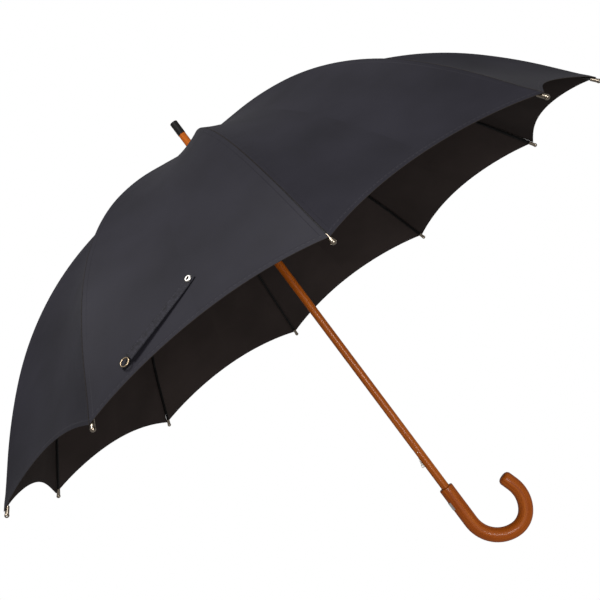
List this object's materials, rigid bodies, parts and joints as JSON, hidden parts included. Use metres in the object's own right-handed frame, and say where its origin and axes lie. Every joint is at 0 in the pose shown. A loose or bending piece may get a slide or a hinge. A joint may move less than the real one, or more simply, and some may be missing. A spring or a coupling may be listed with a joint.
{
  "type": "stick umbrella",
  "caption": "Open stick umbrella with a dark scalloped cloth canopy on hinged sprung ribs, a sliding runner, a wooden shaft and a crook handle.",
  "frame": {"origin": "middle of the hand grip on the shaft's axis", "axes": "+Z along the shaft to the ferrule, +X towards the open end of the crook"},
  "size_m": [1.1328, 1.1508, 0.8907],
  "materials": {
    "oiled_beech_shaft": "satin varnish",
    "stained_handle": "satin varnish",
    "handle_plate": "polished",
    "black_ferrule": "semi-gloss",
    "black_enamel": "satin black enamel",
    "spring_steel": "drawn wire",
    "nickel_tips": "nickel plate",
    "nickel_ring": "nickel plate",
    "strap_cloth": "woven",
    "canopy_cloth": "satin weave"
  },
  "bodies": {
    "stick": {"shaft": "oiled_beech_shaft", "crook_handle": "stained_handle", "handle_badge": "handle_plate", "ferrule_cap": "black_ferrule", "top_notch": "black_enamel", "notch_wire": "spring_steel", "canopy_cap": "canopy_cloth", "stop_pin": "spring_steel", "spring_pins": "spring_steel"},
    "rib_01": {"rib_01": "black_enamel", "gore_01": "canopy_cloth"},
    "stretcher_01": {"stretcher_01": "black_enamel"},
    "tip_01": {"tip_01": "nickel_tips"},
    "rib_02": {"rib_02": "black_enamel", "gore_02": "canopy_cloth"},
    "stretcher_02": {"stretcher_02": "black_enamel"},
    "tip_02": {"tip_02": "nickel_tips"},
    "rib_03": {"rib_03": "black_enamel", "gore_03": "canopy_cloth"},
    "stretcher_03": {"stretcher_03": "black_enamel"},
    "tip_03": {"tip_03": "nickel_tips"},
    "rib_04": {"rib_04": "black_enamel", "gore_04": "canopy_cloth"},
    "stretcher_04": {"stretcher_04": "black_enamel"},
    "tip_04": {"tip_04": "nickel_tips"},
    "rib_05": {"rib_05": "black_enamel", "gore_05": "canopy_cloth"},
    "stretcher_05": {"stretcher_05": "black_enamel"},
    "tip_05": {"tip_05": "nickel_tips"},
    "rib_06": {"rib_06": "black_enamel", "gore_06": "canopy_cloth"},
    "stretcher_06": {"stretcher_06": "black_enamel"},
    "tip_06": {"tip_06": "nickel_tips"},
    "rib_07": {"rib_07": "black_enamel", "gore_07": "canopy_cloth"},
    "stretcher_07": {"stretcher_07": "black_enamel"},
    "tip_07": {"tip_07": "nickel_tips"},
    "rib_08": {"rib_08": "black_enamel", "gore_08": "canopy_cloth"},
    "stretcher_08": {"stretcher_08": "black_enamel"},
    "tip_08": {"tip_08": "nickel_tips"},
    "rib_09": {"rib_09": "black_enamel", "gore_09": "canopy_cloth"},
    "stretcher_09": {"stretcher_09": "black_enamel"},
    "tip_09": {"tip_09": "nickel_tips"},
    "rib_10": {"rib_10": "black_enamel", "gore_10": "canopy_cloth"},
    "stretcher_10": {"stretcher_10": "black_enamel"},
    "tip_10": {"tip_10": "nickel_tips"},
    "runner": {"runner": "black_enamel", "runner_wire": "spring_steel"},
    "hand_catch": {"hand_spring": "spring_steel"},
    "top_catch": {"top_spring": "spring_steel"},
    "strap": {"strap": "strap_cloth", "strap_button": "nickel_ring"},
    "strap_ring": {"strap_ring": "nickel_ring"}
  },
  "joints": [
    {"name": "rib_01_fold", "type": "hinge", "parent": "stick", "child": "rib_01", "pos_m": [0.01095, 0.00491, 0.7252], "axis": [-0.409, 0.9125, 0], "range_deg": [0, 72.64], "deforming": ["rib_01", "gore_01", "rib_02", "gore_02", "rib_03", "gore_03", "rib_04", "gore_04", "rib_05", "gore_05", "rib_06", "gore_06", "rib_07", "gore_07", "rib_08", "gore_08", "rib_09", "gore_09", "rib_10", "gore_10", "hand_spring", "top_spring"]},
    {"name": "rib_02_fold", "type": "hinge", "parent": "stick", "child": "rib_02", "pos_m": [0.00598, 0.01041, 0.7252], "axis": [-0.8672, 0.4979, 0], "range_deg": [0, 72.64]},
    {"name": "rib_03_fold", "type": "hinge", "parent": "stick", "child": "rib_03", "pos_m": [-0.00128, 0.01193, 0.7252], "axis": [-0.9943, -0.107, 0], "range_deg": [0, 72.64]},
    {"name": "rib_04_fold", "type": "hinge", "parent": "stick", "child": "rib_04", "pos_m": [-0.00805, 0.0089, 0.7252], "axis": [-0.7415, -0.6709, 0], "range_deg": [0, 72.64]},
    {"name": "rib_05_fold", "type": "hinge", "parent": "stick", "child": "rib_05", "pos_m": [-0.01174, 0.00247, 0.7252], "axis": [-0.2055, -0.9787, 0], "range_deg": [0, 72.64]},
    {"name": "rib_06_fold", "type": "hinge", "parent": "stick", "child": "rib_06", "pos_m": [-0.01095, -0.00491, 0.7252], "axis": [0.409, -0.9125, 0], "range_deg": [0, 72.64]},
    {"name": "rib_07_fold", "type": "hinge", "parent": "stick", "child": "rib_07", "pos_m": [-0.00598, -0.01041, 0.7252], "axis": [0.8672, -0.4979, 0], "range_deg": [0, 72.64]},
    {"name": "rib_08_fold", "type": "hinge", "parent": "stick", "child": "rib_08", "pos_m": [0.00128, -0.01193, 0.7252], "axis": [0.9943, 0.107, 0], "range_deg": [0, 72.64]},
    {"name": "rib_09_fold", "type": "hinge", "parent": "stick", "child": "rib_09", "pos_m": [0.00805, -0.0089, 0.7252], "axis": [0.7415, 0.6709, 0], "range_deg": [0, 72.64]},
    {"name": "rib_10_fold", "type": "hinge", "parent": "stick", "child": "rib_10", "pos_m": [0.01174, -0.00247, 0.7252], "axis": [0.2055, 0.9787, 0], "range_deg": [0, 72.64]},
    {"name": "stretcher_01_hinge", "type": "hinge", "parent": "rib_01", "child": "stretcher_01", "pos_m": [0.28474, 0.12761, 0.65395], "axis": [-0.409, 0.9125, 0], "range_deg": [-145.78, 0.5]},
    {"name": "stretcher_02_hinge", "type": "hinge", "parent": "rib_02", "child": "stretcher_02", "pos_m": [0.15535, 0.2706, 0.65395], "axis": [-0.8672, 0.4979, 0], "range_deg": [-145.78, 0.5]},
    {"name": "stretcher_03_hinge", "type": "hinge", "parent": "rib_03", "child": "stretcher_03", "pos_m": [-0.03337, 0.31024, 0.65395], "axis": [-0.9943, -0.107, 0], "range_deg": [-145.78, 0.5]},
    {"name": "stretcher_04_hinge", "type": "hinge", "parent": "rib_04", "child": "stretcher_04", "pos_m": [-0.20935, 0.23137, 0.65395], "axis": [-0.7415, -0.6709, 0], "range_deg": [-145.78, 0.5]},
    {"name": "stretcher_05_hinge", "type": "hinge", "parent": "rib_05", "child": "stretcher_05", "pos_m": [-0.30537, 0.06413, 0.65395], "axis": [-0.2055, -0.9787, 0], "range_deg": [-145.78, 0.5]},
    {"name": "stretcher_06_hinge", "type": "hinge", "parent": "rib_06", "child": "stretcher_06", "pos_m": [-0.28474, -0.12761, 0.65395], "axis": [0.409, -0.9125, 0], "range_deg": [-145.78, 0.5]},
    {"name": "stretcher_07_hinge", "type": "hinge", "parent": "rib_07", "child": "stretcher_07", "pos_m": [-0.15535, -0.2706, 0.65395], "axis": [0.8672, -0.4979, 0], "range_deg": [-145.78, 0.5]},
    {"name": "stretcher_08_hinge", "type": "hinge", "parent": "rib_08", "child": "stretcher_08", "pos_m": [0.03337, -0.31024, 0.65395], "axis": [0.9943, 0.107, 0], "range_deg": [-145.78, 0.5]},
    {"name": "stretcher_09_hinge", "type": "hinge", "parent": "rib_09", "child": "stretcher_09", "pos_m": [0.20935, -0.23137, 0.65395], "axis": [0.7415, 0.6709, 0], "range_deg": [-145.78, 0.5]},
    {"name": "stretcher_10_hinge", "type": "hinge", "parent": "rib_10", "child": "stretcher_10", "pos_m": [0.30537, -0.06413, 0.65395], "axis": [0.2055, 0.9787, 0], "range_deg": [-145.78, 0.5]},
    {"name": "rib_01_flex", "type": "hinge", "parent": "rib_01", "child": "tip_01", "pos_m": [0.28474, 0.12761, 0.65395], "axis": [-0.409, 0.9125, 0], "range_deg": [-23.65, 0.5]},
    {"name": "rib_02_flex", "type": "hinge", "parent": "rib_02", "child": "tip_02", "pos_m": [0.15535, 0.2706, 0.65395], "axis": [-0.8672, 0.4979, 0], "range_deg": [-23.65, 0.5]},
    {"name": "rib_03_flex", "type": "hinge", "parent": "rib_03", "child": "tip_03", "pos_m": [-0.03337, 0.31024, 0.65395], "axis": [-0.9943, -0.107, 0], "range_deg": [-23.65, 0.5]},
    {"name": "rib_04_flex", "type": "hinge", "parent": "rib_04", "child": "tip_04", "pos_m": [-0.20935, 0.23137, 0.65395], "axis": [-0.7415, -0.6709, 0], "range_deg": [-23.65, 0.5]},
    {"name": "rib_05_flex", "type": "hinge", "parent": "rib_05", "child": "tip_05", "pos_m": [-0.30537, 0.06413, 0.65395], "axis": [-0.2055, -0.9787, 0], "range_deg": [-23.65, 0.5]},
    {"name": "rib_06_flex", "type": "hinge", "parent": "rib_06", "child": "tip_06", "pos_m": [-0.28474, -0.12761, 0.65395], "axis": [0.409, -0.9125, 0], "range_deg": [-23.65, 0.5]},
    {"name": "rib_07_flex", "type": "hinge", "parent": "rib_07", "child": "tip_07", "pos_m": [-0.15535, -0.2706, 0.65395], "axis": [0.8672, -0.4979, 0], "range_deg": [-23.65, 0.5]},
    {"name": "rib_08_flex", "type": "hinge", "parent": "rib_08", "child": "tip_08", "pos_m": [0.03337, -0.31024, 0.65395], "axis": [0.9943, 0.107, 0], "range_deg": [-23.65, 0.5]},
    {"name": "rib_09_flex", "type": "hinge", "parent": "rib_09", "child": "tip_09", "pos_m": [0.20935, -0.23137, 0.65395], "axis": [0.7415, 0.6709, 0], "range_deg": [-23.65, 0.5]},
    {"name": "rib_10_flex", "type": "hinge", "parent": "rib_10", "child": "tip_10", "pos_m": [0.30537, -0.06413, 0.65395], "axis": [0.2055, 0.9787, 0], "range_deg": [-23.65, 0.5]},
    {"name": "runner_hinge", "type": "hinge", "parent": "stretcher_01", "child": "runner", "pos_m": [0.01095, 0.00491, 0.58271], "axis": [-0.409, 0.9125, 0], "range_deg": [-0.5, 73.14]},
    {"name": "hand_catch_press", "type": "hinge", "parent": "stick", "child": "hand_catch", "pos_m": [-0.0025, 0, 0.103], "axis": [0, -1, 0], "range_deg": [0, 9], "stiffness_Nm_per_rad": 0.4},
    {"name": "top_catch_press", "type": "hinge", "parent": "stick", "child": "top_catch", "pos_m": [-0.0025, 0, 0.53371], "axis": [0, -1, 0], "range_deg": [0, 9], "stiffness_Nm_per_rad": 0.4},
    {"name": "strap_lift", "type": "hinge", "parent": "tip_07", "child": "strap", "pos_m": [-0.08946, -0.47474, 0.48256], "axis": [-0.324, 0.6987, 0.6378], "range_deg": [0, 110]},
    {"name": "strap_ring_turn", "type": "hinge", "parent": "strap", "child": "strap_ring", "pos_m": [-0.20623, -0.49343, 0.44711], "axis": [-0.324, 0.6987, 0.6378], "range_deg": [0, 80]}
  ],
  "couplings": [
    {"joint": "rib_02_fold", "follows": "rib_01_fold", "ratio": 1},
    {"joint": "rib_03_fold", "follows": "rib_01_fold", "ratio": 1},
    {"joint": "rib_04_fold", "follows": "rib_01_fold", "ratio": 1},
    {"joint": "rib_05_fold", "follows": "rib_01_fold", "ratio": 1},
    {"joint": "rib_06_fold", "follows": "rib_01_fold", "ratio": 1},
    {"joint": "rib_07_fold", "follows": "rib_01_fold", "ratio": 1},
    {"joint": "rib_08_fold", "follows": "rib_01_fold", "ratio": 1},
    {"joint": "rib_09_fold", "follows": "rib_01_fold", "ratio": 1},
    {"joint": "rib_10_fold", "follows": "rib_01_fold", "ratio": 1},
    {"joint": "stretcher_01_hinge", "follows": "rib_01_fold", "ratio": -2},
    {"joint": "stretcher_02_hinge", "follows": "rib_01_fold", "ratio": -2},
    {"joint": "stretcher_03_hinge", "follows": "rib_01_fold", "ratio": -2},
    {"joint": "stretcher_04_hinge", "follows": "rib_01_fold", "ratio": -2},
    {"joint": "stretcher_05_hinge", "follows": "rib_01_fold", "ratio": -2},
    {"joint": "stretcher_06_hinge", "follows": "rib_01_fold", "ratio": -2},
    {"joint": "stretcher_07_hinge", "follows": "rib_01_fold", "ratio": -2},
    {"joint": "stretcher_08_hinge", "follows": "rib_01_fold", "ratio": -2},
    {"joint": "stretcher_09_hinge", "follows": "rib_01_fold", "ratio": -2},
    {"joint": "stretcher_10_hinge", "follows": "rib_01_fold", "ratio": -2},
    {"joint": "rib_01_flex", "follows": "rib_01_fold", "ratio": -0.3187},
    {"joint": "rib_02_flex", "follows": "rib_01_fold", "ratio": -0.3187},
    {"joint": "rib_03_flex", "follows": "rib_01_fold", "ratio": -0.3187},
    {"joint": "rib_04_flex", "follows": "rib_01_fold", "ratio": -0.3187},
    {"joint": "rib_05_flex", "follows": "rib_01_fold", "ratio": -0.3187},
    {"joint": "rib_06_flex", "follows": "rib_01_fold", "ratio": -0.3187},
    {"joint": "rib_07_flex", "follows": "rib_01_fold", "ratio": -0.3187},
    {"joint": "rib_08_flex", "follows": "rib_01_fold", "ratio": -0.3187},
    {"joint": "rib_09_flex", "follows": "rib_01_fold", "ratio": -0.3187},
    {"joint": "rib_10_flex", "follows": "rib_01_fold", "ratio": -0.3187},
    {"joint": "runner_hinge", "follows": "rib_01_fold", "ratio": 1}
  ]
}
